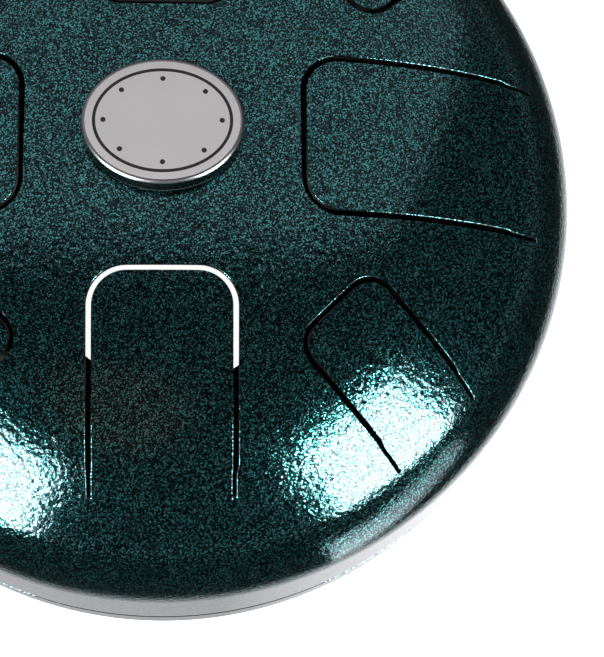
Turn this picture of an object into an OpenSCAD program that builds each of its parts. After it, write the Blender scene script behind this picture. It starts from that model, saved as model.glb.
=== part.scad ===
// Steel tongue drum: two welded steel shells, eight tongues cut in the top one,
// an oval badge on the crown, a sound port in the bottom and four rubber feet.
// Millimetres. +Z is up, -Y is the player's side, and the origin is the middle of
// the footprint, on the surface that the drum stands on.

/* [Shells] */
// Outside diameter of the drum
drum_d = 304.8; // [292:0.1:330]
// Thickness of the steel of both shells
sheet_t = 2.5; // [1.6:0.1:3.2]
// Height of the top shell's straight side, above the seam
top_side_h = 44.4; // [30:0.1:60]
// Radius of the curve at the edge of the top shell
knuckle_r = 57; // [50:0.5:64]
// Radius of the shoulder, between the edge and the crown
shoulder_r = 154; // [140:1:170]
// Radius of the nearly flat crown
crown_r = 440; // [380:5:600]
// Angle above level where the edge curve runs into the shoulder
knuckle_angle = 57.7; // [54:0.1:60]
// Height of the bottom shell's straight side, below the seam
bottom_side_h = 14; // [8:0.5:30]
// Radius of the curve at the edge of the bottom shell
bottom_knuckle_r = 24; // [18:0.5:30]
// Radius of the shallow dish of the bottom shell
bottom_crown_r = 800; // [650:10:1200]
// Diameter of the sound port in the bottom shell
port_d = 104; // [80:1:120]
// Height of the weld groove at its mouth
weld_h = 3.2; // [2:0.1:4]
// Depth of the weld groove
weld_depth = 1.5; // [1:0.05:1.55]
// How far the ground weld lies below the paint line
weld_recess = 0.8; // [0.4:0.05:0.9]

/* [Tongues] */
// From the drum's side to the middle of a long tongue's end slit, straight in
long_tip_inset = 104.1; // [99:0.1:108]
// From the drum's side to the middle of a short tongue's end slit, straight in
short_tip_inset = 69.2; // [65:0.1:72]
// Angle from each long tongue to the short one on its left as the player sees it
short_turn = 44.1; // [43:0.1:47]
// Corner radius of a long tongue's slit, along the middle of the slit
long_corner_r = 12.7; // [9:0.1:16]
// Corner radius of a short tongue's slit, along the middle of the slit
short_corner_r = 9; // [7:0.1:13]
// Width of the slit
slit_w = 2; // [1.4:0.1:2.8]
// Width of the finer cut that carries a slit on to the root when the note is tuned
tuning_cut_w = 1.3; // [0.8:0.1:1.8]
// Length of the finer cut
tuning_cut_l = 9.4; // [6:0.1:12]
// Length of the finer cut on the front tongue
front_tuning_cut_l = 7.4; // [5:0.1:10]
// Width of the front tongue, between the middles of its slits
front_w = 49.6; // [45:0.1:55]
// Length of the front tongue, from its end slit to its root
front_l = 74.8; // [68:0.1:82]
// Width of the front right tongue
front_right_w = 37; // [34:0.1:42]
// Length of the front right tongue
front_right_l = 54.5; // [48:0.1:56]
// Width of the right tongue
right_w = 56.4; // [50:0.1:60]
// Length of the right tongue
right_l = 85.3; // [76:0.1:90]
// Width of the back right tongue
back_right_w = 36.6; // [33:0.1:41]
// Length of the back right tongue
back_right_l = 49.5; // [44:0.1:54]
// Width of the back tongue
back_w = 52.8; // [48:0.1:58]
// Length of the back tongue
back_l = 79.6; // [72:0.1:86]
// Width of the back left tongue
back_left_w = 37.4; // [34:0.1:42]
// Length of the back left tongue
back_left_l = 52; // [46:0.1:55]
// Width of the left tongue
left_w = 57.6; // [52:0.1:62]
// Length of the left tongue
left_l = 87.8; // [78:0.1:90]
// Width of the front left tongue
front_left_w = 37; // [33:0.1:41]
// Length of the front left tongue
front_left_l = 50.6; // [45:0.1:55]

/* [Badge] */
// Length of the oval badge at its foot, side to side
badge_l = 55.8; // [44:0.2:64]
// Width of the oval badge at its foot, front to back
badge_w = 45.6; // [38:0.2:54]
// Thickness of the badge
badge_t = 6.3; // [4:0.1:8]
// Height of the upright rim at the badge's foot
badge_foot_h = 0.8; // [0.4:0.1:1.6]
// How far the badge's side leans in above that rim
badge_draft = 0.4; // [0:0.05:1]
// Radius of the badge's polished edge
badge_edge_r = 1.3; // [0.8:0.1:2]
// Thickness of the adhesive pad at its middle
pad_t = 1.4; // [0.8:0.1:2]
// How far the pad stays inside the badge's edge
pad_inset = 0.6; // [0.4:0.1:3]
// From the badge's edge to the inlaid line
line_inset = 4.2; // [3:0.1:6]
// Width of the inlaid line
line_w = 1.1; // [0.6:0.1:1.6]
// Depth of the inlay's grooves
line_depth = 0.5; // [0.3:0.05:0.8]
// Diameter of the inlaid dots, one for each tongue
dot_d = 1.8; // [1:0.1:2.4]
// From the inlaid line to the middle of a dot
dot_gap = 2.6; // [2:0.1:4]

/* [Feet] */
// Clearance under the lowest part of the bottom shell
foot_clear = 4; // [3:0.5:10]
// From the drum's side to the middle of each foot, straight in
foot_inset = 48.4; // [40:0.1:62]
// Diameter of a foot where it meets the shell
foot_d = 30; // [26:0.5:36]
// Taper of a foot's side, in degrees
foot_taper = 8; // [2:0.5:12]
// Thickness of rubber between the shell and the screw's washer
foot_seat_t = 4.6; // [3:0.1:6]
// Diameter of the screws
screw_d = 5; // [4:0.5:6]
// Diameter of the screw heads
screw_head_d = 9; // [8:0.1:10]
// Height of the screw heads
screw_head_h = 2.4; // [2:0.1:3]
// Size of the socket in the screw heads, across flats
screw_socket_af = 3; // [2:0.5:4]
// Outside diameter of the washers
washer_d = 10; // [9.5:0.1:12]
// Thickness of the washers
washer_t = 1; // [0.8:0.1:1.4]
// Width of the nuts across flats
nut_af = 8; // [7:0.5:9]
// Thickness of the nuts
nut_t = 4; // [3:0.1:5]

/* [Hidden] */
$fn = 128;

// Gap across the root of a tongue, where the sheet bends
root_gap = 0.2;
// Gap between a screw and what it passes through or turns in
screw_gap = 0.2;
thread_gap = 0.05;
// Gap under a flat washer that sits in the curved shell
seat_gap = 0.05;
// Gap round a screw head in the foot's recess
head_gap = 0.8;
// How far the screws stand out of their nuts
screw_stand = 2.85;
// How far the inlay lies below the badge's face
inlay_recess = 0.08;
// Overrun of every cut past the face that it leaves
over = 1;
// Steps round the badge's edge and round its oval
edge_steps = 6;
oval_steps = 96;
// Steps across the crown under the badge
crown_steps = 16;
// Faces round an inlaid dot, and round the ball that a foot is cut to
dot_faces = 24;
dish_faces = 256;

paint = [0.03, 0.15, 0.15];
steel = [0.72, 0.73, 0.75];
rubber = [0.06, 0.06, 0.06];

drum_r = drum_d / 2;

// Bottom shell: a shallow dish, a knuckle and a straight side up to the seam
dish_c = foot_clear + bottom_crown_r;
bottom_knuckle_x = drum_r - bottom_knuckle_r;
dish_reach = bottom_crown_r - bottom_knuckle_r;
bottom_knuckle_z = dish_c - sqrt(dish_reach * dish_reach - bottom_knuckle_x * bottom_knuckle_x);
dish_angle = asin(bottom_knuckle_x / dish_reach);
seam_z = bottom_knuckle_z + bottom_side_h;

// Top shell: a straight side, then three arcs that run into each other
knuckle_c = [drum_r - knuckle_r, seam_z + top_side_h];
shoulder_c = knuckle_c - (shoulder_r - knuckle_r) * [cos(knuckle_angle), sin(knuckle_angle)];
crown_angle = acos(shoulder_c[0] / (crown_r - shoulder_r));
crown_c = shoulder_c - (crown_r - shoulder_r) * [cos(crown_angle), sin(crown_angle)];
crown_top = crown_c[1] + crown_r;

long_tip_r = drum_r - long_tip_inset;
short_tip_r = drum_r - short_tip_inset;

// Each tongue: azimuth from the front towards the right, width, length, end slit, corner, tuning cut
TONGUES = [
  [0, front_w, front_l, long_tip_r, long_corner_r, front_tuning_cut_l],
  [short_turn, front_right_w, front_right_l, short_tip_r, short_corner_r, tuning_cut_l],
  [90, right_w, right_l, long_tip_r, long_corner_r, tuning_cut_l],
  [90 + short_turn, back_right_w, back_right_l, short_tip_r, short_corner_r, tuning_cut_l],
  [180, back_w, back_l, long_tip_r, long_corner_r, tuning_cut_l],
  [180 + short_turn, back_left_w, back_left_l, short_tip_r, short_corner_r, tuning_cut_l],
  [270, left_w, left_l, long_tip_r, long_corner_r, tuning_cut_l],
  [270 + short_turn, front_left_w, front_left_l, short_tip_r, short_corner_r, tuning_cut_l]
];

foot_count = 4;
first_foot = 45;
foot_tilt = asin((drum_r - foot_inset) / bottom_crown_r);
screw_l = washer_t + foot_seat_t + sheet_t + seat_gap + washer_t + nut_t + screw_stand;

badge_z = crown_top + pad_t;

// The part of a round outline between two angles, as a pie slice from its centre
module arc_slice(centre, r, from, to) {
  intersection() {
    translate(centre) circle(r);
    polygon([
      centre,
      centre + 2 * r * [cos(from), sin(from)],
      centre + 2 * r * [cos(to), sin(to)]
    ]);
  }
}

// Half section of the top shell's outside, or of its inside if inset by the sheet.
// Each arc carries on inside the next, flatter one, so that the pieces overlap
module top_section(inset, low) {
  intersection() {
    translate([0, low]) square([drum_r, crown_top - low + over]);
    union() {
      translate([0, low]) square([drum_r - inset, knuckle_c[1] - low]);
      translate(knuckle_c) circle(knuckle_r - inset);
      arc_slice(shoulder_c, shoulder_r - inset, knuckle_angle, 90);
      arc_slice(crown_c, crown_r - inset, crown_angle, 180 - crown_angle);
    }
  }
}

// Half section of the bottom shell's outside or inside, up to a level
module bottom_section(inset, high) {
  intersection() {
    square([drum_r, high]);
    union() {
      translate([0, bottom_knuckle_z]) square([drum_r - inset, high - bottom_knuckle_z]);
      translate([bottom_knuckle_x, bottom_knuckle_z]) circle(bottom_knuckle_r - inset);
      arc_slice([0, dish_c], bottom_crown_r - inset, -90 - dish_angle, dish_angle - 90);
    }
  }
}

// Half section of the groove that both shells' edges form round the seam
module weld_groove() {
  polygon([
    [drum_r + over, seam_z + weld_h / 2 * (weld_depth + over) / weld_depth],
    [drum_r - weld_depth, seam_z],
    [drum_r + over, seam_z - weld_h / 2 * (weld_depth + over) / weld_depth]
  ]);
}

module top_sheet() {
  rotate_extrude() difference() {
    top_section(0, seam_z);
    top_section(sheet_t, seam_z - over);
    weld_groove();
  }
}

// Outline of a tongue, moved out from the middle of its slit by grow and by tune_grow
module tongue_outline(t, grow, tune_grow, root_r) {
  half_w = t[1] / 2 + grow;
  corner = t[4] + grow;
  tip_y = -(t[3] - grow);
  wide_y = -(t[3] + t[2] - t[5]);
  tune_half_w = t[1] / 2 + tune_grow;
  translate([-half_w, wide_y]) square([2 * half_w, tip_y - corner - wide_y]);
  translate([corner - half_w, wide_y]) square([2 * (half_w - corner), tip_y - wide_y]);
  for (side = [-1, 1]) translate([side * (half_w - corner), tip_y - corner]) circle(corner);
  translate([-tune_half_w, -root_r]) square([2 * tune_half_w, tip_y - corner + root_r]);
}

// A column over a tongue outline, tall enough for the whole dome
module tongue_column(t, grow, tune_grow, root_r) {
  rotate([0, 0, t[0]]) translate([0, 0, knuckle_c[1]])
    linear_extrude(crown_top - knuckle_c[1] + over)
      tongue_outline(t, grow, tune_grow, root_r);
}

module top_shell() {
  color(paint) difference() {
    top_sheet();
    for (t = TONGUES) tongue_column(t, slit_w / 2, tuning_cut_w / 2, t[3] + t[2]);
  }
}

// One tongue: the sheet inside its slit, up to a fine gap at the root
module tongue(t) {
  color(paint) intersection() {
    top_sheet();
    tongue_column(t, -slit_w / 2, -tuning_cut_w / 2, t[3] + t[2] - root_gap);
  }
}

module tongue_front() {
  tongue(TONGUES[0]);
}

module tongue_front_right() {
  tongue(TONGUES[1]);
}

module tongue_right() {
  tongue(TONGUES[2]);
}

module tongue_back_right() {
  tongue(TONGUES[3]);
}

module tongue_back() {
  tongue(TONGUES[4]);
}

module tongue_back_left() {
  tongue(TONGUES[5]);
}

module tongue_left() {
  tongue(TONGUES[6]);
}

module tongue_front_left() {
  tongue(TONGUES[7]);
}

// Places what it is given at each foot, or at one of them, square to the shell:
// z is 0 on the shell's outside and grows down and outwards
module at_foot(i) {
  rotate([0, 0, first_foot + i * 360 / foot_count])
    translate([0, 0, dish_c]) rotate([180 - foot_tilt, 0, 0])
      translate([0, 0, bottom_crown_r]) children();
}

module at_feet() {
  for (i = [0 : foot_count - 1]) at_foot(i) children();
}

module bottom_shell() {
  color(paint) difference() {
    rotate_extrude() difference() {
      bottom_section(0, seam_z);
      bottom_section(sheet_t, seam_z + over);
      weld_groove();
      square([port_d / 2, seam_z]);
    }
    at_feet() translate([0, 0, -sheet_t - over])
      cylinder(d = screw_d + 2 * screw_gap, h = sheet_t + 2 * over);
  }
}

module weld_seam() {
  bead_h = weld_h * (weld_depth - weld_recess) / weld_depth;
  color(paint) rotate_extrude() polygon([
    [drum_r - weld_depth, seam_z],
    [drum_r - weld_recess, seam_z - bead_h / 2],
    [drum_r - weld_recess, seam_z + bead_h / 2]
  ]);
}

// Oval outline inset from the badge's edge
module badge_oval(inset) {
  polygon([
    for (i = [0 : oval_steps - 1])
      [(badge_l / 2 - inset) * cos(i * 360 / oval_steps), (badge_w / 2 - inset) * sin(i * 360 / oval_steps)]
  ]);
}

// The inlaid line and dots, as a flat outline
module badge_marks() {
  dot_ring = line_inset + line_w + dot_gap;
  difference() {
    badge_oval(line_inset);
    badge_oval(line_inset + line_w);
  }
  for (t = TONGUES)
    translate([
      (badge_l / 2 - dot_ring) * sin(t[0]),
      -(badge_w / 2 - dot_ring) * cos(t[0])
    ]) circle(d = dot_d, $fn = dot_faces);
}

module badge_plate() {
  color(steel) translate([0, 0, badge_z]) difference() {
    hull() {
      linear_extrude(badge_foot_h) badge_oval(0);
      for (i = [0 : edge_steps])
        linear_extrude(badge_t - badge_edge_r * (1 - sin(90 * i / edge_steps)))
          badge_oval(badge_draft + badge_edge_r * (1 - cos(90 * i / edge_steps)));
    }
    translate([0, 0, badge_t - line_depth]) linear_extrude(line_depth + over) badge_marks();
  }
}

module badge_inlay() {
  color("dimgray") translate([0, 0, badge_z + badge_t - line_depth])
    linear_extrude(line_depth - inlay_recess) badge_marks();
}

// The pad's underside follows the crown in narrow steps
module badge_pad() {
  reach = badge_l / 2;
  pad_low = crown_top - 2 * pad_t;
  color(rubber) difference() {
    translate([0, 0, pad_low]) linear_extrude(badge_z - pad_low) badge_oval(pad_inset);
    rotate_extrude() polygon([
      [0, pad_low - over],
      [reach, pad_low - over],
      for (i = [0 : crown_steps])
        [
          reach * (1 - i / crown_steps),
          crown_c[1] + sqrt(crown_r * crown_r - pow(reach * (1 - i / crown_steps), 2))
        ]
    ]);
  }
}

// One rubber foot: a tapered plug cut flat where it stands, with a recess for the screw head
module foot(i) {
  blank_h = foot_clear + bottom_crown_r * (1 - cos(foot_tilt)) + foot_d / 2;
  foot_end_d = foot_d - 2 * blank_h * tan(foot_taper);
  color(rubber) difference() {
    at_foot(i) translate([0, 0, -over])
      cylinder(d1 = foot_d + 2 * over * tan(foot_taper), d2 = foot_end_d, h = blank_h + over);
    translate([0, 0, dish_c]) sphere(bottom_crown_r, $fn = dish_faces);
    translate([-drum_r, -drum_r, -foot_d]) cube([drum_d, drum_d, foot_d]);
    at_foot(i) translate([0, 0, -over])
      cylinder(d = screw_d + 2 * screw_gap, h = blank_h + 2 * over);
    at_foot(i) translate([0, 0, foot_seat_t])
      cylinder(d = washer_d + 2 * head_gap, h = blank_h);
  }
}

module foot_front_right() {
  foot(0);
}

module foot_back_right() {
  foot(1);
}

module foot_back_left() {
  foot(2);
}

module foot_front_left() {
  foot(3);
}

module washer() {
  difference() {
    cylinder(d = washer_d, h = washer_t);
    translate([0, 0, -over]) cylinder(d = screw_d + 2 * screw_gap, h = washer_t + 2 * over);
  }
}

module foot_washers() {
  color(steel) at_feet() translate([0, 0, foot_seat_t]) washer();
}

module foot_screws() {
  color(steel) at_feet() translate([0, 0, foot_seat_t + washer_t]) {
    difference() {
      cylinder(d = screw_head_d, h = screw_head_h);
      translate([0, 0, screw_head_h / 2])
        cylinder(d = screw_socket_af / cos(30), h = screw_head_h, $fn = 6);
    }
    translate([0, 0, -screw_l]) cylinder(d = screw_d, h = screw_l);
  }
}

module shell_washers() {
  color(steel) at_feet() translate([0, 0, -sheet_t - seat_gap - washer_t]) washer();
}

module foot_nuts() {
  color(steel) at_feet() translate([0, 0, -sheet_t - seat_gap - washer_t - nut_t]) difference() {
    cylinder(d = nut_af / cos(30), h = nut_t, $fn = 6);
    translate([0, 0, -over]) cylinder(d = screw_d + 2 * thread_gap, h = nut_t + 2 * over);
  }
}

top_shell();
tongue_front();
tongue_front_right();
tongue_right();
tongue_back_right();
tongue_back();
tongue_back_left();
tongue_left();
tongue_front_left();
bottom_shell();
weld_seam();
badge_plate();
badge_inlay();
badge_pad();
foot_front_right();
foot_back_right();
foot_back_left();
foot_front_left();
foot_washers();
foot_screws();
shell_washers();
foot_nuts();
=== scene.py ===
from math import acos, asin, cos, hypot, pi, radians, sin, sqrt, tan

import bpy
import numpy as np
from mathutils import Matrix, Vector
from mathutils.geometry import delaunay_2d_cdt


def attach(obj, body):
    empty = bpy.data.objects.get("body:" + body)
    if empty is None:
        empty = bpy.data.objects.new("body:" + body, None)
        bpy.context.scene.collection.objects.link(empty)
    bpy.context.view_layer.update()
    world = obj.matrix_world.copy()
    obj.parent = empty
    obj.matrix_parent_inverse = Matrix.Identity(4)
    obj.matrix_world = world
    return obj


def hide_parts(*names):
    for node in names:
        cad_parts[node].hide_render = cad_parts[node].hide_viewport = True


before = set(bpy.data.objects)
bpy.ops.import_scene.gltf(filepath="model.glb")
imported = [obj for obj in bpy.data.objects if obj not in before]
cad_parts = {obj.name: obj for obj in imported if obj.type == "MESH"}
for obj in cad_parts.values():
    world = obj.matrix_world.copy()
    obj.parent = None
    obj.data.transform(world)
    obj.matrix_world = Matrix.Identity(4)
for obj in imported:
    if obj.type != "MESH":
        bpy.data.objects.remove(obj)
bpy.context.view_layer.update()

mm = 0.001


# Camera
# It looks steeply down on the front right quarter of the drum from about
# three quarters of a metre, through a moderately long lens.
camera_pitch, camera_yaw, camera_roll = radians(74.821), radians(-12.966), radians(12.588)
camera_place = Vector((9.8, -229.13, 772.6965)) * mm
frame_high_px, focal_px = 657, 1874.3

look_back = Vector((
    sin(camera_yaw) * cos(camera_pitch),
    -cos(camera_yaw) * cos(camera_pitch),
    sin(camera_pitch),
))
level_right = Vector((cos(camera_yaw), sin(camera_yaw), 0))
level_up = look_back.cross(level_right)
camera_right = cos(camera_roll) * level_right + sin(camera_roll) * level_up
camera_up = -sin(camera_roll) * level_right + cos(camera_roll) * level_up

lens = bpy.data.cameras.new("Camera")
lens.sensor_width = 36
lens.lens = focal_px * lens.sensor_width / frame_high_px
lens.clip_start = 0.01
camera = bpy.data.objects.new("Camera", lens)
camera.matrix_world = Matrix((
    (camera_right.x, camera_up.x, look_back.x, camera_place.x),
    (camera_right.y, camera_up.y, look_back.y, camera_place.y),
    (camera_right.z, camera_up.z, look_back.z, camera_place.z),
    (0, 0, 0, 1),
))
bpy.context.collection.objects.link(camera)
bpy.context.scene.camera = camera
bpy.context.scene.view_settings.view_transform = "Standard"


# Studio
# Two tall softboxes in front of the drum, one on each side, a wide weak reflector
# high up behind it, a small warm lamp and a dim white room. A white floor keeps the
# drum's shadow round it, with a painted glow under the drum and painted reflections that only the gloss
# sees.
def node_tree(name):
    """A new material with an empty tree, and a short way to add and join its nodes"""
    material = bpy.data.materials.new(name)
    material.use_nodes = True
    tree = material.node_tree
    tree.nodes.clear()

    def add(kind, links=None, **values):
        made = tree.nodes.new("ShaderNode" + kind)
        for key, value in values.items():
            if key in made.inputs:
                made.inputs[key].default_value = value
            else:
                setattr(made, key, value)
        for key, source in (links or {}).items():
            tree.links.new(source, made.inputs[key])
        return made

    return material, add


def ramp(add, source, span, values=(0.0, 1.0)):
    """Runs from one value to the other while the source runs over its span, and is level outside it.
    The end of the span may be another node's output."""
    links, numbers = {"Value": source}, {"From Min": span[0], "To Min": values[0], "To Max": values[1]}
    (numbers if isinstance(span[1], (int, float)) else links)["From Max"] = span[1]
    return add("MapRange", links, **numbers).outputs[0]


def combine(add, operation, one, other):
    """Adds, takes away or multiplies two nodes' outputs, or takes the larger one"""
    return add("Math", {0: one, 1: other}, operation=operation).outputs[0]


def light_panel(name, shape, size, level, colour, place, facing):
    """A panel of light of an even brightness, at a place and facing a way"""
    light = bpy.data.lights.new(name, "AREA")
    light.shape = shape
    light.size, light.size_y = size
    area = pi / 4 * size[0] ** 2 if shape == "DISK" else size[0] * size[1]
    light.energy = level * pi * area
    light.color = colour
    panel = bpy.data.objects.new(name, light)
    panel.location = place
    panel.rotation_euler = facing.to_track_quat("-Z", "Y").to_euler()
    bpy.context.collection.objects.link(panel)


# upright, at a distance from the drum's edge, with their angles as seen from there
softbox_distance, drum_edge_r, drum_edge_z = 0.9, 0.11, 0.15
softbox_low, softbox_high = radians(-6), radians(41)
for name, turn, spread, level in (("Softbox_right", 46.2, 29.5, 12.8), ("Softbox_left", -41, 35, 13.8)):
    out = Vector((sin(radians(turn)), -cos(radians(turn)), 0))
    foot_z = drum_edge_z + softbox_distance * tan(softbox_low)
    head_z = drum_edge_z + softbox_distance * tan(softbox_high)
    wide = 2 * softbox_distance * tan(radians(spread / 2))
    middle = out * (softbox_distance + drum_edge_r) + Vector((0, 0, (foot_z + head_z) / 2))
    light_panel(name, "RECTANGLE", (wide, head_z - foot_z), level, (1, 1, 1), middle, -out)

# its upper edge stands over the crown, and it slopes down to the back
reflector_wide, reflector_long = 2.6, 1.0
down_back, reflector_facing = Vector((0, 0.575, -0.818)), Vector((0, -0.818, -0.575))
upper_edge = Vector((0.74 - reflector_wide / 2, 0.07, 1.126))
light_panel(
    "Reflector_behind", "RECTANGLE", (reflector_wide, reflector_long),
    level=0.23, colour=(0.96, 0.93, 0.98),
    place=upper_edge + down_back * reflector_long / 2, facing=reflector_facing,
)

# a faint warm gleam from the room, above the front left, that falls on the front tongue
lamp_place, front_tongue_place = Vector((-0.15, -0.57, 1.09)), Vector((0, -0.09, 0.16))
light_panel(
    "Room_lamp", "DISK", (0.5, 0.5), level=0.09, colour=(1, 0.3, 0.12),
    place=lamp_place, facing=front_tongue_place - lamp_place,
)

# dim to the drum, and white to the camera
world = bpy.data.worlds.new("Studio")
bpy.context.scene.world = world
world.use_nodes = True
world_nodes, world_links = world.node_tree.nodes, world.node_tree.links
world_nodes.clear()
seen = world_nodes.new("ShaderNodeLightPath")
dim = world_nodes.new("ShaderNodeBackground")
dim.inputs["Color"].default_value = (0.9, 0.95, 1, 1)
dim.inputs["Strength"].default_value = 0.052
white = world_nodes.new("ShaderNodeBackground")
white.inputs["Color"].default_value = (1, 1, 1, 1)
white.inputs["Strength"].default_value = 1
either = world_nodes.new("ShaderNodeMixShader")
world_out = world_nodes.new("ShaderNodeOutputWorld")
world_links.new(seen.outputs["Is Camera Ray"], either.inputs[0])
world_links.new(dim.outputs[0], either.inputs[1])
world_links.new(white.outputs[0], either.inputs[2])
world_links.new(either.outputs[0], world_out.inputs[0])

bpy.ops.mesh.primitive_plane_add(size=8, location=(0, 0, 0))
floor = bpy.context.object
floor.name = "Floor"
floor_paper, add = node_tree("Floor_paper")
place = add("TexCoord").outputs["Object"]
from_axis = add("VectorMath", {0: place}, operation="LENGTH").outputs["Value"]
ray = add("LightPath")
# to the camera: a painted glow, full white straight under the drum where its shade falls and shows through
# the port, a little darker round the feet
painted_glow_under_drum = ramp(add, from_axis, (0.11, 0.14), (1.0, 0.92))
seen_far = ramp(add, from_axis, (0.25, 1.2), (0.0, 0.08))
seen_level = combine(add, "ADD", painted_glow_under_drum, seen_far)
paper = add("BsdfDiffuse", Color=(0.86, 0.86, 0.86, 1))
glow_seen = add("Emission", {"Strength": seen_level})
both = add("AddShader", {0: paper.outputs[0], 1: glow_seen.outputs[0]})
# to the gloss only, painted reflections glowing in the floor: white like paper close to the drum,
# wider and lighter round its sides, a bright painted card in front on the right, and a painted room that is
# dark up to some distance
outward = add("VectorMath", {0: place}, operation="NORMALIZE").outputs[0]
way, spot = add("SeparateXYZ", {0: outward}), add("SeparateXYZ", {0: place})
painted_paper_reflection_end = ramp(add, way.outputs["Y"], (-0.7, 0.2), (0.214, 0.29))
painted_paper_reflection_near = ramp(add, from_axis, (0.17, painted_paper_reflection_end), (1.0, 0.0))
painted_paper_reflection_level = ramp(add, way.outputs["X"], (0.15, 0.8), (0.47, 1.1))
painted_paper_reflection = combine(add, "MULTIPLY", painted_paper_reflection_near, painted_paper_reflection_level)
painted_card_turn = radians(42)
painted_card_way = add("VectorMath", {0: outward}, operation="DOT_PRODUCT")
painted_card_way.inputs[1].default_value = (sin(painted_card_turn), -cos(painted_card_turn), 0)
painted_card_sides = ramp(add, painted_card_way.outputs["Value"], (0.966, 0.973))
painted_card_near = ramp(add, spot.outputs["Y"], (-0.194, -0.17), (1.0, 0.0))
painted_card_end = ramp(add, way.outputs["X"], (0.6, 0.8), (0.35, 0.52))
painted_card_far = ramp(add, combine(add, "SUBTRACT", from_axis, painted_card_end), (-0.04, 0.03), (1.0, 0.0))
painted_card_level = ramp(add, way.outputs["X"], (0.6, 0.76), (1.4, 0.85))
painted_card_shape = combine(add, "MULTIPLY", painted_card_near, painted_card_far)
painted_card_reflection = combine(add, "MULTIPLY", combine(add, "MULTIPLY", painted_card_sides, painted_card_level), painted_card_shape)
painted_room_reflection = ramp(add, from_axis, (0.5, 3), (0.02, 0.14))
glow = combine(add, "ADD", combine(add, "ADD", painted_paper_reflection, painted_card_reflection), painted_room_reflection)
# painted reflections: this glow is seen only by glossy rays
painted_reflection_glow = add("Emission", {"Strength": glow}, Color=(0.98, 0.96, 1, 1))
in_gloss = ray.outputs["Is Glossy Ray"]
mirrored = add("MixShader", {0: in_gloss, 1: paper.outputs[0], 2: painted_reflection_glow.outputs[0]})
straight = combine(add, "MAXIMUM", ray.outputs["Is Camera Ray"], ray.outputs["Is Transmission Ray"])
floor_look = add("MixShader", {0: straight, 1: mirrored.outputs[0], 2: both.outputs[0]})
add("OutputMaterial", {"Surface": floor_look.outputs[0]})
floor.data.materials.append(floor_paper)


# Top shell
# Deep-drawn sheet steel, 2.5 mm thick, with a straight side and a domed top, laser
# cut round its tongues. It is powder coated: teal flakes in a black ground under a
# clear gloss coat that keeps some orange peel, and near-black painted shade inside and in the cuts.
drum_r, sheet = 152.4 * mm, 2.5 * mm
hair = 0.01 * mm  # what lies nearer to a line than this lies on it
seam_z, side_h = 52.6965 * mm, 44.4 * mm
edge_r, shoulder_r, crown_r = 57 * mm, 154 * mm, 440 * mm
edge_turn = radians(57.7)
edge_centre = Vector((drum_r - edge_r, seam_z + side_h))
shoulder_centre = edge_centre - (shoulder_r - edge_r) * Vector((cos(edge_turn), sin(edge_turn)))
crown_turn = acos(shoulder_centre.x / (crown_r - shoulder_r))
crown_centre = Vector((0, shoulder_centre.y - (crown_r - shoulder_r) * sin(crown_turn)))
tongue_field_r = 142 * mm
slit_w, tuning_w, root_gap, slit_eased = 2 * mm, 1.5 * mm, 0.012 * mm, 0.25 * mm
seam_bevel = 1.5 * mm
# name: degrees from the front, then in millimetres its width, length, end slit from the
# axis, corner, tuning cut, and how far that cut went astray on its left and on its right
TONGUES = {
    "front": (0, 49.6, 74.8, 48.3, 12.7, 7.4, 0, -0.45),
    "front_right": (44.1, 37, 54.5, 83.2, 9, 9.4, -0.5, -0.45),
    "right": (90, 56.4, 85.3, 48.3, 12.7, 9.4, -0.4, -0.6),
    "back_right": (134.1, 36.6, 49.5, 83.2, 9, 9.4, 0.3, -0.3),
    "back": (180, 52.8, 79.6, 48.3, 12.7, 9.4, -0.4, 0.2),
    "back_left": (224.1, 37.4, 52, 83.2, 9, 9.4, -0.3, 0.4),
    "left": (270, 57.6, 87.8, 48.3, 12.7, 9.4, 0.4, -0.3),
    "front_left": (314.1, 37, 50.6, 83.2, 9, 9.4, -0.2, -0.5),
}


def dome(r, depth=0.0):
    """Height of the top shell at a distance from the axis, this deep in the sheet, and its normal there"""
    if r < (crown_r - depth) * cos(crown_turn):
        centre, radius = crown_centre, crown_r - depth
    elif r < shoulder_centre.x + (shoulder_r - depth) * cos(edge_turn):
        centre, radius = shoulder_centre, shoulder_r - depth
    else:
        centre, radius = edge_centre, edge_r - depth
    rise = sqrt(max(radius**2 - (r - centre.x) ** 2, 0))
    return centre.y + rise, (r - centre.x) / radius, rise / radius


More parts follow.
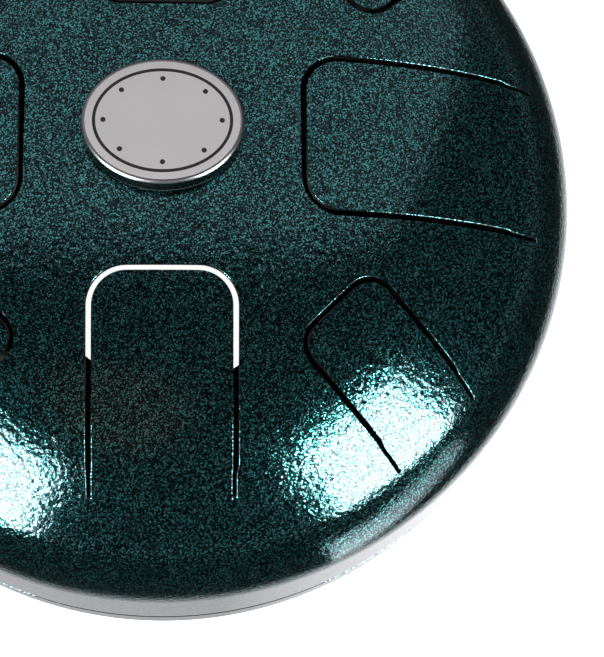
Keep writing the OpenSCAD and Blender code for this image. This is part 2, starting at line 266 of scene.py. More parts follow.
def slit_edge(tongue, side):
    """One edge of a tongue's slit in plan, from root to root round its end, and the line
    across the root. side is 1 for the shell's edge and -1 for the tongue's own, which
    leaves a fine gap at the root to move in."""
    turn, width, length, tip, corner, tuning, astray_left, astray_right = tongue
    turn = radians(turn)
    half, tip, corner, reach = width / 2 * mm, tip * mm, corner * mm, (tip + length) * mm
    root = reach - tuning_w / 2 - (root_gap if side < 0 else 0)
    cut_from = reach - tuning * mm
    wide, fine = side * slit_w / 2, side * tuning_w / 2
    step, narrowing = 1.4 * mm, 3.2 * mm

    def run(a, b):
        count = max(1, round((Vector(b) - Vector(a)).length / step))
        return [tuple(Vector(a).lerp(Vector(b), i / count)) for i in range(count)]

    def arc(centre, radius, start, end, count):
        turns = [radians(start + (end - start) * i / count) for i in range(count + 1)]
        return [(centre[0] + radius * cos(t), centre[1] - radius * sin(t)) for t in turns]

    def flank(astray):
        """The slit from the root to the end slit, as it runs on the tongue's right"""
        cut = half + astray * mm
        line = arc((cut, root), tuning_w / 2, -180, 0, 8)[1:-1] if side > 0 else []
        line += run((cut + fine, root), (cut + fine, cut_from))
        for i in range(6):
            ease = (1 - cos(pi * i / 6)) / 2
            line.append((cut + fine + (half + wide - cut - fine) * ease, cut_from - narrowing * i / 6))
        line += run((half + wide, cut_from - narrowing), (half + wide, tip + corner))
        return line + arc((half - corner, tip + corner), corner + wide, 0, 90, 16)

    right, left = flank(astray_right), flank(-astray_left)
    across = run(right[-1], (-left[-1][0], left[-1][1]))[1:]
    edge = right + across + [(-u, v) for u, v in reversed(left)]
    start, end = -half + (astray_left * mm) + tuning_w / 2, half + astray_right * mm - tuning_w / 2
    count = round((end - start) / step)
    root_line = [(start + (end - start) * i / count, root) for i in range(count + 1)]
    if side < 0:
        root_line = root_line[1:-1]
    outline = [(v * sin(turn) + u * cos(turn), -v * cos(turn) + u * sin(turn)) for u, v in edge + root_line]
    return np.array(outline), len(edge)


def inside(points, outline):
    """Which points of a plan lie inside an outline"""
    x, y = points[:, 0:1], points[:, 1:2]
    a, b = outline, np.roll(outline, -1, axis=0)
    over = (a[:, 1] > y) != (b[:, 1] > y)
    with np.errstate(divide="ignore", invalid="ignore"):
        crossing = a[:, 0] + (y - a[:, 1]) * (b[:, 0] - a[:, 0]) / (b[:, 1] - a[:, 1])
    return (over & (x < crossing)).sum(axis=1) % 2 == 1


def domed_sheet(name, outlines, keep):
    """A plan of fine triangles between the outlines, bent up to the dome's outside"""
    rings, grid_step, clear_of_edge = 36, 4 * mm, 1.7 * mm
    grid = [(0.0, 0.0)]
    for i in range(1, rings):
        ring_r = tongue_field_r * i / rings
        count = 8 * round(ring_r * 2 * pi / grid_step / 8) or 8
        turns = [2 * pi * (k + i % 2 / 2) / count for k in range(count)]
        grid += [(ring_r * cos(t), ring_r * sin(t)) for t in turns]
    grid = np.array(grid)
    clear = keep(grid)
    for outline in outlines:
        away = grid[:, None] - outline[None]
        clear &= np.hypot(away[..., 0], away[..., 1]).min(axis=1) > clear_of_edge
    grid = grid[clear]
    points, edges = [], []
    for outline in outlines:
        start = len(points)
        points += [tuple(p) for p in outline]
        edges += [(start + i, start + (i + 1) % len(outline)) for i in range(len(outline))]
    points += [tuple(p) for p in grid]
    made, _, triangles, *_ = delaunay_2d_cdt([Vector(p) * 1000 for p in points], edges, [], 0, 1e-5)
    made = np.array([tuple(p) for p in made]) / 1000
    triangles = np.array(triangles)
    triangles = triangles[keep(made[triangles].mean(axis=1))]
    used = sorted(set(triangles.ravel()))
    renumber = {old: new for new, old in enumerate(used)}
    bent_up = [(x, y, dome(hypot(x, y))[0]) for x, y in made[used]]
    mesh = bpy.data.meshes.new(name)
    mesh.from_pydata(bent_up, [], [[renumber[i] for i in t] for t in triangles])
    piece = bpy.data.objects.new(name, mesh)
    bpy.context.collection.objects.link(piece)
    return piece


def edit(piece):
    """Only this piece selected, with nothing of it selected, in edit mode"""
    if bpy.context.object and bpy.context.object.mode != "OBJECT":
        bpy.ops.object.mode_set(mode="OBJECT")
    bpy.ops.object.select_all(action="DESELECT")
    piece.select_set(True)
    bpy.context.view_layer.objects.active = piece
    bpy.ops.object.mode_set(mode="EDIT")
    bpy.ops.mesh.select_mode(type="VERT")
    bpy.ops.mesh.select_all(action="DESELECT")


def pick(piece, test, kind="vertices"):
    """Selects the vertices, edges or faces that pass a test"""
    bpy.ops.object.mode_set(mode="OBJECT")
    for element in getattr(piece.data, kind):
        element.select = bool(test(element))
    bpy.ops.object.mode_set(mode="EDIT")
    bpy.ops.mesh.select_mode(type={"vertices": "VERT", "edges": "EDGE", "polygons": "FACE"}[kind])


def done(piece):
    """Back to object mode, with the piece no longer selected"""
    bpy.ops.object.mode_set(mode="OBJECT")
    piece.select_set(False)


def draw_out(at, steps):
    """Extrudes the picked ring from one radius and height to the next, round the drum's axis"""
    for r, z in steps:
        bpy.ops.mesh.extrude_region_move()
        bpy.ops.transform.resize(value=(r / at[0], r / at[0], 1), center_override=(0, 0, 0))
        bpy.ops.transform.translate(value=(0, 0, z - at[1]))
        at = (r, z)


def thicken(piece, thickness):
    """Gives a surface its wall, inwards from the face it has"""
    wall = piece.modifiers.new("Sheet", "SOLIDIFY")
    wall.thickness, wall.offset, wall.use_even_offset = thickness, -1, True
    bpy.context.view_layer.objects.active = piece
    bpy.ops.object.modifier_apply(modifier=wall.name)


def ease_slits(piece, roots):
    """Rounds the outer edges of the slits, as the coating does, but not the line across a root"""
    off_rim, near_top = 1 * mm, 0.3 * mm
    points = [v.co.copy() for v in piece.data.vertices]
    reach = {}
    for face in piece.data.polygons:
        for key in face.edge_keys:
            reach.setdefault(key, []).append(face.normal.copy())

    def sharp(edge):
        a, b = points[edge.vertices[0]], points[edge.vertices[1]]
        middle = (a + b) / 2
        r = hypot(middle.x, middle.y)
        normals = reach[tuple(sorted(edge.vertices))]
        if r > tongue_field_r - off_rim or len(normals) < 2 or normals[0].dot(normals[1]) > 0.5:
            return False
        if abs(middle.z - dome(r)[0]) > near_top:
            return False
        return not any(on_root(a, root) and on_root(b, root) for root in roots)

    def on_root(point, root):
        turn, half, root_r = root
        u = point.x * cos(turn) + point.y * sin(turn)
        v = point.x * sin(turn) - point.y * cos(turn)
        return abs(v - root_r) < 2 * root_gap and abs(u) < half + hair

    edit(piece)
    pick(piece, sharp, "edges")
    bpy.ops.mesh.bevel(offset=slit_eased, segments=3, profile=0.5, affect="EDGES", clamp_overlap=True)
    done(piece)


def root_of(tongue):
    """Where a tongue's root line lies: its turn, half its length and a little more, and its distance"""
    turn, width, length, tip, *_ = tongue
    return radians(turn), width / 2 * mm + 0.2 * mm, (tip + length) * mm - tuning_w / 2


def true_to_dome(piece):
    """Gives the sheet's two faces the dome's own normals, so that no facet or joint shows"""
    on_face = 0.02 * mm
    piece.data.shade_smooth()
    normals = []
    for vertex in piece.data.vertices:
        x, y, z = vertex.co
        r = hypot(x, y) or 1e-9
        normal = (0, 0, 0)
        for depth, side in ((0, 1), (sheet, -1)):
            if z > edge_centre.y - hair / 10:
                level, out, up = dome(min(r, drum_r - depth), depth)
                steep = out > 0.85
                from_edge_centre = hypot(r - edge_centre.x, z - edge_centre.y)
                off = abs(from_edge_centre - (edge_r - depth)) if steep else abs(z - level)
                if off < on_face:
                    normal = (side * x / r * out, side * y / r * out, side * up)
            elif abs(r - (drum_r - depth)) < on_face:
                normal = (side * x / r, side * y / r, 0)
        normals.append(normal)
    piece.data.normals_split_custom_set_from_vertices(normals)


def chamfer_at_seam(piece):
    """Bevels the outer edge that meets the other shell, which leaves a groove for the weld"""

    def on_seam(edge):
        ends = [piece.data.vertices[i].co for i in edge.vertices]
        return all(abs(end.z - seam_z) < hair and end.xy.length > drum_r - hair for end in ends)

    edit(piece)
    pick(piece, on_seam, "edges")
    bpy.ops.mesh.bevel(offset=seam_bevel, segments=1, affect="EDGES")
    done(piece)


rim_count = 256
rim_turns = [2 * pi * k / rim_count for k in range(rim_count)]
field_edge = np.array([(tongue_field_r * cos(t), tongue_field_r * sin(t)) for t in rim_turns])
holes = [slit_edge(tongue, 1)[0] for tongue in TONGUES.values()]


def on_shell(points):
    kept = np.hypot(points[:, 0], points[:, 1]) < tongue_field_r - hair
    for hole in holes:
        kept &= ~inside(points, hole)
    return kept


top_shell = domed_sheet("Top_shell", [field_edge] + holes, on_shell)
edit(top_shell)
pick(top_shell, lambda v: hypot(v.co.x, v.co.y) > tongue_field_r - hair)
bpy.ops.mesh.select_mode(type="EDGE")
edge_from, edge_steps, side_steps = acos((tongue_field_r - edge_centre.x) / edge_r), 14, 6
edge_turns = [edge_from * (1 - i / edge_steps) for i in range(1, edge_steps + 1)]
draw_out(
    (tongue_field_r, dome(tongue_field_r)[0]),
    [edge_centre + edge_r * Vector((cos(t), sin(t))) for t in edge_turns]
    + [(drum_r, edge_centre.y - side_h * i / side_steps) for i in range(1, side_steps + 1)],
)
bpy.ops.mesh.select_all(action="SELECT")
bpy.ops.mesh.normals_make_consistent(inside=False)
done(top_shell)
thicken(top_shell, sheet)
chamfer_at_seam(top_shell)
ease_slits(top_shell, [root_of(tongue) for tongue in TONGUES.values()])
true_to_dome(top_shell)

paint, add = node_tree("Teal_flake_powder_coat")
place = add("TexCoord").outputs["Object"]
peel = add("TexNoise", {"Vector": place}, Scale=450, Detail=2, Roughness=0.5).outputs["Fac"]
peel_bump = add("Bump", {"Height": peel}, Strength=1.0, Distance=0.18 * mm)
flake_bump = add("Bump", {"Height": peel}, Strength=1.0, Distance=0.14 * mm)
# a cell for each flake, which lies a little aslant and is mostly dark, seldom bright
flakes = add("TexVoronoi", {"Vector": place}, Scale=2800).outputs["Color"]
flake = add("SeparateColor", {"Color": flakes})
lie = add("VectorMath", {0: flakes}, operation="SUBTRACT")
lie.inputs[1].default_value = (0.5, 0.5, 0.5)
lean = add("VectorMath", {0: lie.outputs[0]}, operation="SCALE", Scale=0.05)
leaning = add("VectorMath", {0: lean.outputs[0], 1: flake_bump.outputs["Normal"]}, operation="ADD")
flake_normal = add("VectorMath", {0: leaning.outputs[0]}, operation="NORMALIZE")
shade = add("Math", {0: flake.outputs["Red"]}, operation="POWER")
shade.inputs[1].default_value = 8
glint = ramp(add, shade.outputs[0], (0.0, 0.4))
hue = flake.outputs["Green"]
tint = add("MixRGB", {"Fac": hue}, Color1=(0.06, 0.96, 0.92, 1), Color2=(0.4, 0.96, 1.0, 1))
ground = add("MixRGB", {"Fac": glint, "Color2": tint.outputs["Color"]}, Color1=(0.001, 0.01, 0.015, 1))
coat = add(
    "BsdfPrincipled",
    {
        "Base Color": ground.outputs["Color"],
        "Normal": flake_normal.outputs[0],
        "Coat Normal": peel_bump.outputs["Normal"],
    },
    **{"Metallic": 0.975, "Roughness": 0.12, "Coat Weight": 1.0, "Coat Roughness": 0.05, "Coat IOR": 1.45},
)
add("OutputMaterial", {"Surface": coat.outputs[0]})

# near-black painted shade for the slit walls and the shells' insides, which lie in shade; a mottle and
# bumps vary it
painted_shade_coat, add = node_tree("Black_painted_shade")
place = add("TexCoord").outputs["Object"]
painted_shade_mottle = add("TexNoise", {"Vector": place}, Scale=500, Detail=3).outputs["Fac"]
black_and_painted_shade = add("MixRGB", {"Fac": painted_shade_mottle}, Color1=(0.001, 0.0012, 0.0013, 1), Color2=(0.003, 0.0045, 0.005, 1))
dust_bump = add("Bump", {"Height": painted_shade_mottle}, Strength=0.5, Distance=0.1 * mm)
dull = add(
    "BsdfPrincipled",
    {"Base Color": black_and_painted_shade.outputs["Color"], "Normal": dust_bump.outputs["Normal"]},
    **{"Roughness": 0.55, "Specular IOR Level": 0.2},
)
add("OutputMaterial", {"Surface": dull.outputs[0]})


coat_in, coat_under = 0.9 * mm, 0.7 * mm  # how deep the full coat reaches at the side, and in the slits; deeper in lies near-black painted shade


def coat_sheet(piece):
    """The full coat on the outside and on the eased edges, and near-black painted shade in the cuts and
    inside
    """
    piece.data.materials.append(paint)
    piece.data.materials.append(painted_shade_coat)
    for face in piece.data.polygons:
        r, z = face.center.xy.length, face.center.z
        on_side, on_top = r > drum_r - coat_in, abs(z - dome(r)[0]) < coat_under
        face.material_index = 0 if on_side or on_top else 1


coat_sheet(top_shell)
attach(top_shell, "drum")
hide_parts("top_shell")


# Tongues
# Each is a part of the same painted sheet, left standing between its slits, which
# run on a little finer towards the root where the note was tuned.
for name, tongue in TONGUES.items():
    outline, _ = slit_edge(tongue, -1)
    tongue_piece = domed_sheet("Tongue_" + name, [outline], lambda points: inside(points, outline))
    edit(tongue_piece)
    bpy.ops.mesh.select_all(action="SELECT")
    bpy.ops.mesh.normals_make_consistent(inside=False)
    done(tongue_piece)
    if tongue_piece.data.polygons[0].normal.z < 0:
        tongue_piece.data.flip_normals()
    thicken(tongue_piece, sheet)
    ease_slits(tongue_piece, [root_of(tongue)])
    true_to_dome(tongue_piece)
    coat_sheet(tongue_piece)
    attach(tongue_piece, "tongue_" + name)
    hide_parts("tongue_" + name)


# Bottom shell
# A shallow dish pressed from the same steel, with the round sound port punched in its
# middle and a straight side up to the seam. Painted like the top shell.
port_r, port_eased, dish_r, dish_centre_z = 52 * mm, 0.8 * mm, 800 * mm, 804 * mm
low_edge_r, low_side_h = 24 * mm, 14 * mm
low_edge_centre = Vector((drum_r - low_edge_r, seam_z - low_side_h))
low_edge_turn = asin(low_edge_centre.x / (dish_r - low_edge_r))
foot_ring_r = 104 * mm
foot_tilt = asin(foot_ring_r / dish_r)
foot_places = [
    Matrix.Rotation(radians(45 + 90 * i), 4, "Z")
    @ Matrix.Translation((0, 0, dish_centre_z))
    @ Matrix.Rotation(pi - foot_tilt, 4, "X")
    @ Matrix.Translation((0, 0, dish_r))
    for i in range(4)
]


def new_ring(name, count, radius, z=0.0, fill="NOTHING"):
    """A circle of vertices round the axis, in edit mode and all picked"""
    if bpy.context.object and bpy.context.object.mode != "OBJECT":
        bpy.ops.object.mode_set(mode="OBJECT")
    bpy.ops.object.select_all(action="DESELECT")
    bpy.ops.mesh.primitive_circle_add(vertices=count, radius=radius, fill_type=fill)
    piece = bpy.context.object
    piece.name = piece.data.name = name
    bpy.ops.object.mode_set(mode="EDIT")
    bpy.ops.mesh.select_all(action="SELECT")
    bpy.ops.transform.translate(value=(0, 0, z))
    return piece


overrun = 1 * mm  # how far a cutter stands out


def rod(name, sides, radius, low, high):
    """A closed bar round the axis from one height to another, to cut a hole with"""
    piece = new_ring(name, sides, radius, low, "NGON")
    bpy.ops.mesh.extrude_region_move(TRANSFORM_OT_translate={"value": (0, 0, high - low)})
    bpy.ops.mesh.select_all(action="SELECT")
    bpy.ops.mesh.normals_make_consistent(inside=False)
    done(piece)
    return piece


def cut_away(piece, cutter):
    """Takes the cutter's shape out of a closed piece, and throws the cutter away"""
    cut = piece.modifiers.new("Cut", "BOOLEAN")
    cut.operation, cut.solver, cut.object = "DIFFERENCE", "EXACT", cutter
    bpy.ops.object.select_all(action="DESELECT")
    bpy.context.view_layer.objects.active = piece
    bpy.ops.object.modifier_apply(modifier=cut.name)
    bpy.data.objects.remove(cutter)


def finish_mesh(piece, angle=30):
    """Outward faces, and smooth shading up to an angle"""
    edit(piece)
    bpy.ops.mesh.select_all(action="SELECT")
    bpy.ops.mesh.remove_doubles(threshold=0.001 * mm)
    bpy.ops.mesh.normals_make_consistent(inside=False)
    done(piece)
    piece.select_set(True)
    bpy.ops.object.shade_smooth_by_angle(angle=radians(angle))
    piece.select_set(False)


def on_port_edge(edge):
    a, b = (bottom_shell.data.vertices[i].co for i in edge.vertices)
    return max(a.xy.length, b.xy.length) < port_r + hair and abs(a.z - b.z) < hair


port_z = dish_centre_z - sqrt(dish_r**2 - port_r**2)
bottom_shell = new_ring("Bottom_shell", 256, port_r, port_z)
dish_edge_r, dish_steps, low_side_steps = dish_r * sin(low_edge_turn), 16, 3
dish_rings = [port_r + (dish_edge_r - port_r) * i / dish_steps for i in range(1, dish_steps + 1)]
low_turns = [(low_edge_turn - pi / 2) * (1 - i / edge_steps) for i in range(1, edge_steps + 1)]
draw_out(
    (port_r, port_z),
    [(r, dish_centre_z - sqrt(dish_r**2 - r**2)) for r in dish_rings]
    + [low_edge_centre + low_edge_r * Vector((cos(t), sin(t))) for t in low_turns]
    + [(drum_r, low_edge_centre.y + low_side_h * i / low_side_steps) for i in range(1, low_side_steps + 1)],
)
done(bottom_shell)
if bottom_shell.data.polygons[0].normal.z > 0:
    bottom_shell.data.flip_normals()
thicken(bottom_shell, sheet)
edit(bottom_shell)
pick(bottom_shell, on_port_edge, "edges")
bpy.ops.mesh.bevel(offset=port_eased, segments=4, affect="EDGES")
done(bottom_shell)
chamfer_at_seam(bottom_shell)
screw_r, screw_gap = 2.5 * mm, 0.2 * mm
for foot_place in foot_places:
    drill = rod("Drill", 32, screw_r + screw_gap, -sheet - overrun, overrun)
    drill.data.transform(foot_place)
    cut_away(bottom_shell, drill)
bottom_shell.data.shade_smooth()
finish_mesh(bottom_shell)
# deeper than the round edge, the inside and the port's wall get the near-black painted shade
coat_round_edge = 1.2 * mm
bottom_shell.data.materials.append(paint)
bottom_shell.data.materials.append(painted_shade_coat)
for face in bottom_shell.data.polygons:
    r, z = face.center.xy.length, face.center.z
    if z > low_edge_centre.y:
        deep = drum_r - r
    elif r > dish_edge_r:
        deep = low_edge_r - hypot(r - low_edge_centre.x, z - low_edge_centre.y)
    else:
        deep = dish_r - hypot(r, dish_centre_z - z)
    face.material_index = 0 if deep < coat_round_edge else 1
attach(bottom_shell, "drum")
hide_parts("bottom_shell")


# Weld seam
# One bead of weld that closes the two shells, in the groove between their bevelled
# edges. It was laid in short overlapping ripples and painted over with the shells.
bead_r, bead_half_w, bead_half_h = 150.95 * mm, 0.7 * mm, 0.8 * mm
bead_rings, bead_sides, ripple = 900, 10, 0.18 * mm
bpy.ops.object.select_all(action="DESELECT")
bpy.ops.mesh.primitive_torus_add(
    major_segments=bead_rings, minor_segments=bead_sides, major_radius=bead_r, minor_radius=bead_half_w
)
weld_seam = bpy.context.object
weld_seam.name = weld_seam.data.name = "Weld_seam"
edit(weld_seam)
bpy.ops.mesh.select_all(action="SELECT")
bpy.ops.transform.resize(value=(1, 1, bead_half_h / bead_half_w), center_override=(0, 0, 0))
bpy.ops.transform.translate(value=(0, 0, seam_z))
pick(weld_seam, lambda v: v.index // bead_sides % 3 == 0)
bpy.ops.transform.shrink_fatten(value=-ripple)
done(weld_seam)
finish_mesh(weld_seam, 60)
weld_seam.data.materials.append(paint)
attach(weld_seam, "drum")
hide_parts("weld_seam")


# Badge
# A thick oval plate of cast aluminium, polished and chromed, with a satin face. A
# plain line and eight dots are sunk in the face. It is glued to the crown.
badge_half_l, badge_half_w, badge_h = 27.9 * mm, 22.8 * mm, 6.3 * mm
badge_z, badge_foot_h, badge_draft = 173.844 * mm, 0.8 * mm, 0.4 * mm
badge_round, badge_foot_eased = 1.3 * mm, 0.2 * mm
line_from, line_to, line_deep = 4.2 * mm, 5.3 * mm, 0.5 * mm
dot_r, dot_in, inlay_low = 0.9 * mm, 7.9 * mm, 0.08 * mm


def oval(inset):
    return Vector((badge_half_l - inset, badge_half_w - inset))


def to_oval(now, then):
    """Extrudes the picked oval in its own plane to another inset from the badge's edge"""
    larger = (oval(then).x / oval(now).x, oval(then).y / oval(now).y, 1)
    bpy.ops.mesh.extrude_region_move()
    bpy.ops.transform.resize(value=larger, center_override=(0, 0, 0))


def edge_at(z):
    """A test for the badge's edges that lie at a height"""
    return lambda edge: all(abs(badge_plate.data.vertices[i].co.z - z) < hair for i in edge.vertices)


def on_badge_face(face):
    return face.normal.z > 0.99 and face.center.z > top_z - hair


badge_plate = new_ring("Badge_plate", 144, 1, badge_z, "NGON")
bpy.ops.transform.resize(value=(badge_half_l, badge_half_w, 1), center_override=(0, 0, 0))
bpy.ops.mesh.extrude_region_move(TRANSFORM_OT_translate={"value": (0, 0, badge_foot_h)})
to_oval(0, badge_draft)
bpy.ops.transform.translate(value=(0, 0, badge_h - badge_round - badge_foot_h))
bpy.ops.mesh.extrude_region_move(TRANSFORM_OT_translate={"value": (0, 0, badge_round)})
done(badge_plate)
edit(badge_plate)
top_z = badge_z + badge_h
pick(badge_plate, edge_at(top_z), "edges")
bpy.ops.mesh.bevel(offset=badge_round, segments=8, affect="EDGES")
done(badge_plate)
edit(badge_plate)
pick(badge_plate, edge_at(badge_z), "edges")
bpy.ops.mesh.bevel(offset=badge_foot_eased, segments=2, affect="EDGES")
done(badge_plate)
edit(badge_plate)
pick(badge_plate, lambda face: on_badge_face(face) and len(face.vertices) > 20, "polygons")
to_oval(badge_draft + badge_round, line_from)
bpy.ops.mesh.extrude_region_move(TRANSFORM_OT_translate={"value": (0, 0, -line_deep)})
to_oval(line_from, line_to)
bpy.ops.mesh.extrude_region_move(TRANSFORM_OT_translate={"value": (0, 0, line_deep)})
done(badge_plate)
dot_turns = [radians(tongue[0]) for tongue in TONGUES.values()]
dot_places = [(oval(dot_in).x * sin(t), -oval(dot_in).y * cos(t)) for t in dot_turns]
for x, y in dot_places:
    drill = rod("Drill", 32, dot_r, top_z - line_deep, top_z + overrun)
    drill.data.transform(Matrix.Translation((x, y, 0)))
    cut_away(badge_plate, drill)
finish_mesh(badge_plate)

chrome, add = node_tree("Polished_chrome")
place = add("TexCoord").outputs["Object"]
wear = add("TexNoise", {"Vector": place}, Scale=260, Detail=3).outputs["Fac"]
haze = ramp(add, wear, (0.0, 1.0), (0.22, 0.36))
shine = add("BsdfPrincipled", {"Roughness": haze}, **{"Base Color": (0.5, 0.5, 0.51, 1), "Metallic": 1.0})
add("OutputMaterial", {"Surface": shine.outputs[0]})

# a darker copy of the chrome: painted shade on the badge's upright wall, mottled by the same noise
shaded_chrome_copy, add = node_tree("Chrome_painted_shade")
place = add("TexCoord").outputs["Object"]
wear = add("TexNoise", {"Vector": place}, Scale=260, Detail=3).outputs["Fac"]
haze = ramp(add, wear, (0.0, 1.0), (0.14, 0.26))
painted_shade_tone = add("MixRGB", {"Fac": wear}, Color1=(0.14, 0.14, 0.15, 1), Color2=(0.2, 0.2, 0.21, 1))
shine = add("BsdfPrincipled", {"Base Color": painted_shade_tone.outputs["Color"], "Roughness": haze}, Metallic=1.0)
add("OutputMaterial", {"Surface": shine.outputs[0]})

satin, add = node_tree("Satin_chrome")
place = add("TexCoord").outputs["Object"]
grain = add("TexNoise", {"Vector": place}, Scale=2400, Detail=2).outputs["Fac"]
grain_bump = add("Bump", {"Height": grain}, Strength=0.25, Distance=0.05 * mm)
cloud = add("TexNoise", {"Vector": place}, Scale=60, Detail=2).outputs["Fac"]
silver = add("MixRGB", {"Fac": cloud}, Color1=(0.74, 0.715, 0.72, 1), Color2=(0.82, 0.795, 0.8, 1))
face = add(
    "BsdfPrincipled",
    {"Base Color": silver.outputs["Color"], "Normal": grain_bump.outputs["Normal"]},
    Metallic=0.5, Roughness=0.42,
)
add("OutputMaterial", {"Surface": face.outputs[0]})

badge_plate.data.materials.append(chrome)
badge_plate.data.materials.append(satin)
# the third slot is the painted-shade copy of the chrome, for the upright wall
badge_plate.data.materials.append(shaded_chrome_copy)
for polygon in badge_plate.data.polygons:
    if on_badge_face(polygon):
        polygon.material_index = 1
    elif polygon.center.z < top_z - 0.8 * badge_round:
        polygon.material_index = 2
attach(badge_plate, "drum")
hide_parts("badge_plate")


# Badge inlay
# Dark enamel poured into the badge's line and dots. It sets just below the face, with
# a slightly sunken, glossy surface.
badge_inlay = new_ring("Badge_inlay", 144, 1, top_z - line_deep)
bpy.ops.transform.resize(value=(oval(line_from).x, oval(line_from).y, 1), center_override=(0, 0, 0))
to_oval(line_from, line_to)
for x, y in dot_places:
    foot_of_dot = (x, y, top_z - line_deep)
    bpy.ops.mesh.primitive_circle_add(vertices=32, radius=dot_r, fill_type="NGON", location=foot_of_dot)
bpy.ops.mesh.select_all(action="SELECT")
bpy.ops.mesh.extrude_region_move(TRANSFORM_OT_translate={"value": (0, 0, line_deep - inlay_low)})
done(badge_inlay)
finish_mesh(badge_inlay)
enamel, add = node_tree("Dark_enamel")
place = add("TexCoord").outputs["Object"]
pour = add("TexNoise", {"Vector": place}, Scale=900, Detail=2).outputs["Fac"]
ink = add("MixRGB", {"Fac": pour}, Color1=(0.012, 0.013, 0.014, 1), Color2=(0.03, 0.032, 0.034, 1))
wave = add("Bump", {"Height": pour}, Strength=0.3, Distance=0.05 * mm)
gloss = add(
    "BsdfPrincipled",
    {"Base Color": ink.outputs["Color"], "Normal": wave.outputs["Normal"]},
    Roughness=0.2,
)
add("OutputMaterial", {"Surface": gloss.outputs[0]})
badge_inlay.data.materials.append(enamel)
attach(badge_inlay, "drum")
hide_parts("badge_inlay")


# Badge pad
# Black foam with glue on both faces. It fills the narrow gap between the flat back of
# the badge and the round crown.
pad_in, pad_h, pad_rings = 0.6 * mm, 1.4 * mm, 6
badge_pad = new_ring("Badge_pad", 96, 1, badge_z, "NGON")
bpy.ops.transform.resize(value=(oval(pad_in).x, oval(pad_in).y, 1), center_override=(0, 0, 0))
bpy.ops.mesh.extrude_region_move(TRANSFORM_OT_translate={"value": (0, 0, -pad_h)})
for ring in range(pad_rings, 1, -1):
    bpy.ops.mesh.extrude_region_move()
    bpy.ops.transform.resize(value=((ring - 1) / ring, (ring - 1) / ring, 1), center_override=(0, 0, 0))
done(badge_pad)
low = badge_pad.vertex_groups.new(name="Underside")
low.add([v.index for v in badge_pad.data.vertices if v.co.z < badge_z - pad_h / 2], 1, "REPLACE")
lie = badge_pad.modifiers.new("Lie", "SHRINKWRAP")
lie.target, lie.vertex_group, lie.wrap_method = top_shell, low.name, "PROJECT"
lie.use_project_z = lie.use_positive_direction = lie.use_negative_direction = True
lie.offset = hair
bpy.context.view_layer.objects.active = badge_pad
bpy.ops.object.modifier_apply(modifier=lie.name)
finish_mesh(badge_pad)
foam, add = node_tree("Black_foam")
place = add("TexCoord").outputs["Object"]
cells = add("TexVoronoi", {"Vector": place}, Scale=2600).outputs["Distance"]
cell_bump = add("Bump", {"Height": cells}, Strength=0.6, Distance=0.1 * mm)
black_and_painted_shade = add("MixRGB", {"Fac": cells}, Color1=(0.012, 0.012, 0.012, 1), Color2=(0.03, 0.03, 0.03, 1))
sponge = add(
    "BsdfPrincipled",
    {"Base Color": black_and_painted_shade.outputs["Color"], "Normal": cell_bump.outputs["Normal"]},
    Roughness=0.9,
)
add("OutputMaterial", {"Surface": sponge.outputs[0]})
badge_pad.data.materials.append(foam)
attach(badge_pad, "drum")
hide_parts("badge_pad")


# Feet
# Four tapered plugs of moulded black rubber, each held by a screw. A foot stands square
# to the dish and its sole is flat on the table.
foot_r, foot_taper, seat_h = 15 * mm, tan(radians(8)), 4.6 * mm
recess_r, recess_wall, blank_h, sole_round = 5.8 * mm, 2 * mm, 26 * mm, 1.2 * mm
hole_r = screw_r + screw_gap
foot_names = ["front_right", "back_right", "back_left", "front_left"]
rubber, add = node_tree("Moulded_rubber")
place = add("TexCoord").outputs["Object"]
bloom = add("TexNoise", {"Vector": place}, Scale=140, Detail=4).outputs["Fac"]
black = add("MixRGB", {"Fac": bloom}, Color1=(0.01, 0.01, 0.01, 1), Color2=(0.026, 0.026, 0.027, 1))
spark = add("TexNoise", {"Vector": place}, Scale=1800, Detail=2).outputs["Fac"]
spark_bump = add("Bump", {"Height": spark}, Strength=0.4, Distance=0.08 * mm)
dull = ramp(add, bloom, (0.0, 1.0), (0.55, 0.75))
grip = add(
    "BsdfPrincipled",
    {"Base Color": black.outputs["Color"], "Normal": spark_bump.outputs["Normal"], "Roughness": dull},
)
add("OutputMaterial", {"Surface": grip.outputs[0]})


def on_floor(edge):
    return all(abs(foot.data.vertices[i].co.z) < hair / 10 for i in edge.vertices)


def on_sole_rim(edge):
    from_screw = [(foot_place.inverted() @ foot.data.vertices[i].co).xy.length for i in edge.vertices]
    return on_floor(edge) and min(from_screw) > recess_r + recess_wall


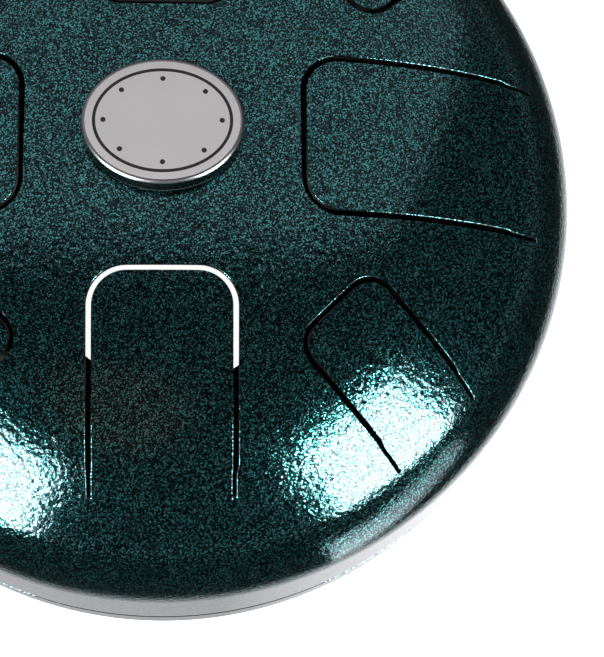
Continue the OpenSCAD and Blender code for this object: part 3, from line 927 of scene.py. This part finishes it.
# a blank as turned: the top follows the dish, then the taper, and the screw's recess inside
foot_top = [(8 * mm, -0.02 * mm), (foot_r - 0.2 * mm, -0.12 * mm), (foot_r - 0.05 * mm, 0.3 * mm)]
foot_side = [(foot_r - h * foot_taper, h) for h in (1 * mm, 3 * mm, blank_h)]
foot_recess = [(recess_r, blank_h), (recess_r, seat_h), (hole_r, seat_h), (hole_r, 0)]
for name, foot_place in zip(foot_names, foot_places):
    foot = new_ring("Foot_" + name, 96, hole_r)
    draw_out((hole_r, 0), foot_top + foot_side + foot_recess)
    bpy.ops.mesh.select_all(action="SELECT")
    bpy.ops.mesh.remove_doubles(threshold=0.001 * mm)
    bpy.ops.mesh.normals_make_consistent(inside=False)
    done(foot)
    foot.data.transform(foot_place)
    edit(foot)
    bpy.ops.mesh.select_all(action="SELECT")
    bpy.ops.mesh.bisect(plane_co=(0, 0, 0), plane_no=(0, 0, 1), clear_inner=True)
    pick(foot, on_floor, "edges")
    bpy.ops.mesh.bridge_edge_loops()
    bpy.ops.mesh.select_all(action="SELECT")
    bpy.ops.mesh.normals_make_consistent(inside=False)
    done(foot)
    edit(foot)
    pick(foot, on_sole_rim, "edges")
    bpy.ops.mesh.bevel(offset=sole_round, segments=4, affect="EDGES")
    done(foot)
    edit(foot)
    pick(foot, lambda v: v.co.z < hair / 10)
    bpy.ops.transform.resize(value=(1, 1, 0), center_override=(0, 0, 0))
    done(foot)
    finish_mesh(foot, 35)
    foot.data.materials.append(rubber)
    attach(foot, "drum")
    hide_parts("foot_" + name)


# Washers
# Plain zinc-plated steel washers: one in each foot under the screw's head, and one
# inside the bottom shell under each nut.
washer_r, washer_h, washer_eased, seat_gap = 5 * mm, 1 * mm, 0.12 * mm, 0.05 * mm
zinc, add = node_tree("Zinc_plate")
place = add("TexCoord").outputs["Object"]
spangle = add("TexNoise", {"Vector": place}, Scale=700, Detail=4).outputs["Fac"]
plate = add("MixRGB", {"Fac": spangle}, Color1=(0.5, 0.52, 0.55, 1), Color2=(0.68, 0.69, 0.7, 1))
rough = ramp(add, spangle, (0.0, 1.0), (0.25, 0.42))
bright = add("BsdfPrincipled", {"Base Color": plate.outputs["Color"], "Roughness": rough}, Metallic=1.0)
add("OutputMaterial", {"Surface": bright.outputs[0]})


def fasten(piece, nodes, shifts):
    """Puts a copy of a fastener at each foot for each node, this far out along the foot's axis,
    and takes the first one away"""
    piece.data.materials.append(zinc)
    for node_name, shift in zip(nodes, shifts):
        for foot_name, foot_place in zip(foot_names, foot_places):
            copy = bpy.data.objects.new(f"{piece.name}_{node_name}_{foot_name}", piece.data.copy())
            copy.data.transform(foot_place @ Matrix.Translation((0, 0, shift)))
            bpy.context.collection.objects.link(copy)
            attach(copy, "drum")
            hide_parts(node_name)
    bpy.data.objects.remove(piece)


def on_washer_rim(edge):
    a, b = (washer.data.vertices[i].co for i in edge.vertices)
    return abs(a.z - b.z) < hair / 10 and abs(a.xy.length - b.xy.length) < hair / 10


washer = new_ring("Washer", 64, hole_r)
draw_out((hole_r, 0), [(washer_r, 0), (washer_r, washer_h), (hole_r, washer_h), (hole_r, 0)])
done(washer)
finish_mesh(washer)
edit(washer)
pick(washer, on_washer_rim, "edges")
bpy.ops.mesh.bevel(offset=washer_eased, segments=2, affect="EDGES")
done(washer)
fasten(washer, ["foot_washers", "shell_washers"], [seat_h, -sheet - seat_gap - washer_h])


# Screws
# Zinc-plated M5 screws with a low round head and a socket for a key. Each goes up
# through its foot and the shell into a nut.
head_r, head_h, socket_r, socket_deep = 4.5 * mm, 2.4 * mm, 3 * mm / 2 / cos(pi / 6), 1.2 * mm
screw_l, tip_chamfer, plain_l = 16 * mm, 0.5 * mm, 3.5 * mm
thread_pitch, thread_deep, thread_turns, thread_from = 0.8 * mm, 0.35 * mm, 14, 0.9 * mm - screw_l
thread = []
for i in range(thread_turns):
    crest = thread_from + thread_pitch * i
    thread += [(screw_r, crest), (screw_r - thread_deep, crest + thread_pitch / 2)]
head = [
    (head_r - 0.3 * mm, 0), (head_r, 0.3 * mm), (head_r, 1.1 * mm),
    (head_r - 0.4 * mm, 1.8 * mm), (head_r - 1.2 * mm, head_h),
]
screw = new_ring("Screw", 48, screw_r - tip_chamfer, -screw_l, "NGON")
draw_out(
    (screw_r - tip_chamfer, -screw_l),
    [(screw_r, tip_chamfer - screw_l)] + thread + [(screw_r, -plain_l), (screw_r, 0)] + head,
)
done(screw)
finish_mesh(screw, 25)
cut_away(screw, rod("Key", 6, socket_r, head_h - socket_deep, head_h + overrun))
finish_mesh(screw, 25)
fasten(screw, ["foot_screws"], [seat_h + washer_h])


# Nuts
# Zinc-plated hexagon nuts inside the bottom shell, with the corners of both faces
# turned off.
nut_flat, nut_h, thread_gap = 8 * mm, 4 * mm, 0.05 * mm
nut = new_ring("Nut", 6, nut_flat / 2 / cos(pi / 6), 0, "NGON")
bpy.ops.mesh.extrude_region_move(TRANSFORM_OT_translate={"value": (0, 0, nut_h)})
done(nut)
finish_mesh(nut)
cut_away(nut, rod("Bore", 32, screw_r + thread_gap, -overrun, nut_h + overrun))
finish_mesh(nut)
fasten(nut, ["foot_nuts"], [-sheet - seat_gap - washer_h - nut_h])
